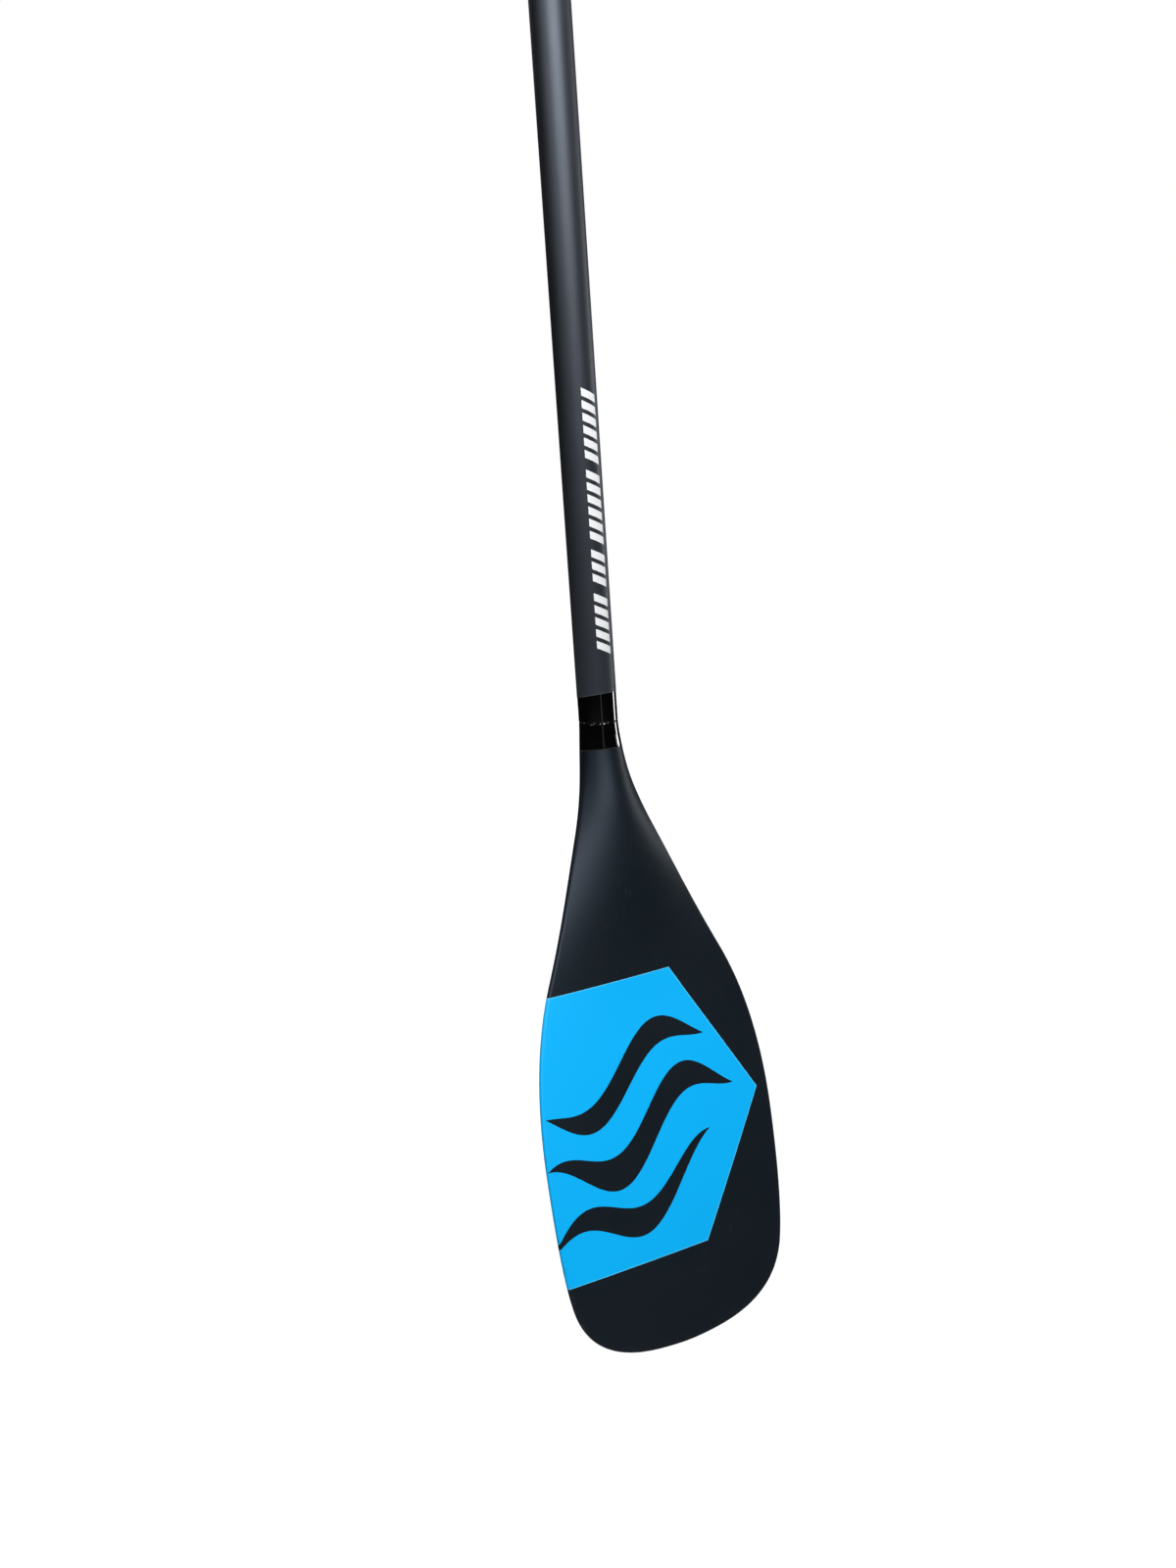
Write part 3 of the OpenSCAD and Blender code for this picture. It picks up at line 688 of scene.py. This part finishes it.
def shaft_wrap():
    """Matte film tube with slightly rolled edges; the lower one is cut at a slant."""
    inside = TUBE_R + GLUE_GAP
    rings = [circle(inside, WRAP_CUT, WRAP_TILT), circle(WRAP_R - 0.07 * MM, WRAP_CUT, WRAP_TILT)]
    rings += [circle(WRAP_R, WRAP_CUT + 0.15 * MM, WRAP_TILT)]
    rings += [circle(WRAP_R, WRAP_TOP - 0.1 * MM), circle(WRAP_R - 0.08 * MM, WRAP_TOP), circle(inside, WRAP_TOP)]
    return loft("shaft_wrap_film", rings, WRAP, degrees=60)


place(shaft_tube(), "paddle", "main_shaft")
place(shaft_wrap(), "paddle", "shaft_wrap")

# ---- Clamp ----


def refined(node, name, material, bevel):
    """A copy of an exact CAD part with joined facets, rounded edges and clean shading."""
    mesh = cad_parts[node].data.copy()
    bm = bmesh.new()
    bm.from_mesh(mesh)
    bmesh.ops.remove_doubles(bm, verts=bm.verts, dist=1e-6)
    bmesh.ops.dissolve_limit(bm, angle_limit=math.radians(0.5), verts=bm.verts, edges=bm.edges)
    sharp = [e for e in bm.edges if len(e.link_faces) == 2 and e.calc_face_angle(0) > math.radians(35)]
    bmesh.ops.bevel(bm, geom=sharp, offset=bevel, segments=3, profile=0.5, affect="EDGES", clamp_overlap=True)
    bm.to_mesh(mesh)
    bm.free()
    mesh.materials.clear()
    mesh.materials.append(material)
    mesh.polygons.foreach_set("use_smooth", [True] * len(mesh.polygons))
    obj = bpy.data.objects.new(name, mesh)
    bpy.context.scene.collection.objects.link(obj)
    sharpen(obj, 28)
    even = obj.modifiers.new("even_shading", "WEIGHTED_NORMAL")
    even.keep_sharp = True
    return obj


place(refined("clamp_collar", "clamp_collar_nylon", NYLON, 0.5 * MM), "paddle", "clamp_collar")
place(refined("clamp_lever", "clamp_lever_nylon", NYLON, 0.5 * MM), "lever", "clamp_lever")
place(refined("clamp_bolt", "clamp_bolt_steel", STEEL, 0.25 * MM), "paddle", "clamp_bolt")
place(refined("clamp_pin", "clamp_pin_steel", STEEL, 0.3 * MM), "paddle", "clamp_pin")
place(refined("clamp_washer", "clamp_washer_steel", STEEL, 0.15 * MM), "paddle", "clamp_washer")

# ---- Handle ----

HANDLE_SIDES = 140
HANDLE_LIP = 0.4 * MM


def handle_tube():
    """Carbon tube with the key groove down its front."""
    z0, z1 = low("handle_tube").z, high("handle_tube").z
    edge, floor = GROOVE_HALF_W, HANDLE_R - GROOVE_DEPTH
    start = math.asin(edge / HANDLE_R)
    ring = [(HANDLE_R * math.sin(t), -HANDLE_R * math.cos(t))
            for t in np.linspace(start, 2 * math.pi - start, HANDLE_SIDES)]
    ring += [(-edge, -floor), (-edge / 3, -floor), (edge / 3, -floor), (edge, -floor)]
    outer = np.array(ring)
    inner = outer / np.linalg.norm(outer, axis=1)[:, None] * HANDLE_BORE

    def level(points, z, share=1.0):
        return np.column_stack([points * share, np.full(len(points), z)])

    small = 1 - HANDLE_LIP / HANDLE_R
    rings = [level(outer, z0, small), level(outer, z0 + HANDLE_LIP), level(outer, z1 - HANDLE_LIP)]
    rings += [level(outer, z1, small), level(inner, z1), level(inner, z0)]
    return loft("handle_tube_carbon", rings, HANDLE, degrees=40)


PALM_RINGS = 72
PALM_SIDES = 96
PALM_HALF_L = 54 * MM
PALM_HALF_H = 18 * MM
PALM_UP = 82 * MM  # its middle over the core's foot
PALM_DROP = 7 * MM  # how much lower its ends are
PALM_END = 0.62  # size of the sections towards the ends, as a share of the middle one
PALM_STOP = 87  # the last section, in degrees along the half circle from end to end


def palm_pad():
    """Palm pad: rounded sections along X, smaller and lower towards the ends, cut out for the core."""
    half_w = (high("grip_pad").y - low("grip_pad").y) / 2
    z = low("grip_core").z + PALM_UP
    b = np.arange(PALM_SIDES) * 2 * math.pi / PALM_SIDES
    rings = []
    for k in range(PALM_RINGS):
        a = math.radians(-PALM_STOP + 2 * PALM_STOP * k / (PALM_RINGS - 1))
        share = abs(math.sin(a))
        size = (1 + (PALM_END - 1) * share ** 2) * math.sqrt(1 - share ** 5)
        x = np.full(PALM_SIDES, PALM_HALF_L * math.sin(a))
        up = z - PALM_DROP * share ** 2 + PALM_HALF_H * size * np.sin(b)
        rings.append(np.stack([x, half_w * size * np.cos(b), up], 1))
    pad = loft("palm_pad_foam", rings, PALM, closed=False, degrees=60)
    bm = bmesh.new()
    bm.from_mesh(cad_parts["grip_core"].data)
    bmesh.ops.remove_doubles(bm, verts=bm.verts, dist=1e-6)
    cut_with(pad, bm)
    return pad


place(handle_tube(), "handle", "handle_tube")
place(refined("grip_core", "grip_core_nylon", NYLON, 0.4 * MM), "handle", "grip_core")
place(palm_pad(), "handle", "grip_pad")

# ---- CAD nodes that stay, inside the tubes and the blade ----

KEPT = {
    "blade_core": FOAM, "shaft_plug": FOAM, "handle_plug": FOAM, "blade_tenon": GLOSS, "shaft_bushing": NYLON,
    "handle_guide": NYLON, "guide_rings": RUBBER, "grip_rivet": STEEL,
}
for node, material in KEPT.items():
    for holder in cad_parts[node].material_slots:
        holder.material = material

# ---- Camera, floor and light ----

CAMERA_AZIMUTH = -29.46
CAMERA_ELEVATION = 10.84
CAMERA_ROLL = math.radians(-3.977)
CAMERA_DISTANCE = 1.1565
LOOK_BELOW_JOINT = 46.35 * MM
LOOK_RIGHT = -10.76 * MM


def direction(azimuth, elevation):
    """The way towards a viewer, in degrees: azimuth from the front (-Y) towards +X, elevation from level."""
    a, e = math.radians(azimuth), math.radians(elevation)
    return Vector((math.sin(a) * math.cos(e), -math.cos(a) * math.cos(e), math.sin(e)))


def add_camera():
    """The photograph's view: a 36 mm lens, rolled a little, that looks at a point below the joint."""
    back_way = direction(CAMERA_AZIMUTH, CAMERA_ELEVATION)
    right = direction(CAMERA_AZIMUTH + 90, 0)
    up = back_way.cross(right)
    c, s = math.cos(CAMERA_ROLL), math.sin(CAMERA_ROLL)
    turn = Matrix((right * c + up * s, up * c - right * s, back_way)).transposed().to_4x4()
    target = Vector((0, 0, JOINT_Z - LOOK_BELOW_JOINT)) + right * LOOK_RIGHT
    camera = bpy.data.objects.new("camera", bpy.data.cameras.new("camera"))
    camera.data.sensor_width = 36
    camera.data.lens = 36
    camera.matrix_world = Matrix.Translation(target + back_way * CAMERA_DISTANCE) @ turn
    bpy.context.scene.collection.objects.link(camera)
    bpy.context.scene.camera = camera


def add_light(name, azimuth, elevation, distance, size, watts, colour=(1, 1, 1), centre_z=0.0):
    """An area light that looks at the shaft's axis at centre_z from the given side."""
    way = direction(azimuth, elevation)
    data = bpy.data.lights.new(name, "AREA")
    data.shape = "RECTANGLE"
    data.size, data.size_y = size
    data.energy = watts
    data.color = colour
    light = bpy.data.objects.new(name, data)
    light.location = Vector((0, 0, centre_z)) + way * distance
    light.rotation_mode = "QUATERNION"
    light.rotation_quaternion = (-way).to_track_quat("-Z", "Y")
    light.visible_camera = False
    bpy.context.scene.collection.objects.link(light)


FLOOR_GAP = 12 * MM  # under the blade's tip
FLOOR_HALF = 40
FLOOR_NEAR, FLOOR_FAR = 0.3, 1.6  # the floor gets brighter from one distance to the other


def add_floor():
    """A white floor that shows only a faint shadow, and that the lacquer doesn't mirror."""
    f = Finish("pale_floor", roughness=0.9, specular=0.0)
    f.colour((0.12, 0.12, 0.12))
    x, y, _ = f.axes()
    away = f.math("POWER", f.math("ADD", f.both(x, x), f.both(y, y)), 0.5)
    f.feed(f.surface.inputs["Emission Color"], (1, 1, 1))
    f.feed(f.surface.inputs["Emission Strength"], f.ramp(away, FLOOR_NEAR, FLOOR_FAR, 0.955, 1.0))
    z, far = TIP_Z - FLOOR_GAP, FLOOR_HALF
    corners = [(-far, -far, z), (far, -far, z), (far, far, z), (-far, far, z)]
    floor = mesh_object("floor", corners, [(0, 1, 2, 3)], f.material)
    floor.visible_glossy = False
    floor.visible_diffuse = False


FILL = 0.03
MIRROR_LEVEL = 0.004  # what gloss mirrors above the horizon
MIRROR_BELOW = 0.30  # and well below it
MIRROR_FROM, MIRROR_FULL = -0.22, -0.50  # sines of the angles where the second takes over


def set_world():
    """White to the camera; a dim fill for the rest, mirrored only from well below the horizon."""
    world = bpy.data.worlds.new("studio")
    bpy.context.scene.world = world
    world.use_nodes = True
    tree = world.node_tree
    tree.nodes.clear()

    def node(kind, *values):
        made = tree.nodes.new(kind)
        for socket, value in zip(made.inputs, values):
            socket.default_value = value
        return made

    def shade(strength):
        return node("ShaderNodeBackground", (0.92, 0.96, 1, 1), strength)

    def choose(ray, first, second):
        mixer = node("ShaderNodeMixShader")
        tree.links.new(path.outputs[ray], mixer.inputs[0])
        tree.links.new(first.outputs[0], mixer.inputs[1])
        tree.links.new(second.outputs[0], mixer.inputs[2])
        return mixer

    path = node("ShaderNodeLightPath")
    way = node("ShaderNodeTexCoord")
    split = node("ShaderNodeSeparateXYZ")
    tree.links.new(way.outputs["Generated"], split.inputs[0])
    below = node("ShaderNodeMapRange", 0, MIRROR_FROM, MIRROR_FULL, MIRROR_LEVEL, MIRROR_BELOW)
    tree.links.new(split.outputs[2], below.inputs[0])
    mirrored = shade(0)
    tree.links.new(below.outputs[0], mirrored.inputs[1])
    seen = node("ShaderNodeBackground", (1, 1, 1, 1), 1)
    lit = choose("Is Glossy Ray", shade(FILL), mirrored)
    out = node("ShaderNodeOutputWorld")
    tree.links.new(choose("Is Camera Ray", lit, seen).outputs[0], out.inputs[0])


bpy.context.scene.view_settings.view_transform = "Standard"
add_camera()
add_floor()
set_world()
# Name, azimuth, elevation, distance, size and watts of each light, then its colour and the height it looks at
add_light("key_softbox", -16, 30, 3.2, (3.2, 2.6), 168)
add_light("left_fill", -72, 20, 3.2, (1.5, 2.4), 14)
add_light("window_strip", 84, 0, 2.6, (1.1, 1.8), 8, (0.97, 0.98, 1), 0.35)
add_light("low_window", 87.5, 0, 2.6, (0.5, 1.5), 9, centre_z=-0.93)
add_light("right_fill", 50, 42, 3.2, (1.2, 1.2), 10)
add_light("back_softbox", 165, 52, 3.2, (2.4, 2.4), 110)
add_light("gap_glow", -6.5, -8, 2.4, (0.22, 1.1), 0.10, centre_z=-0.3)
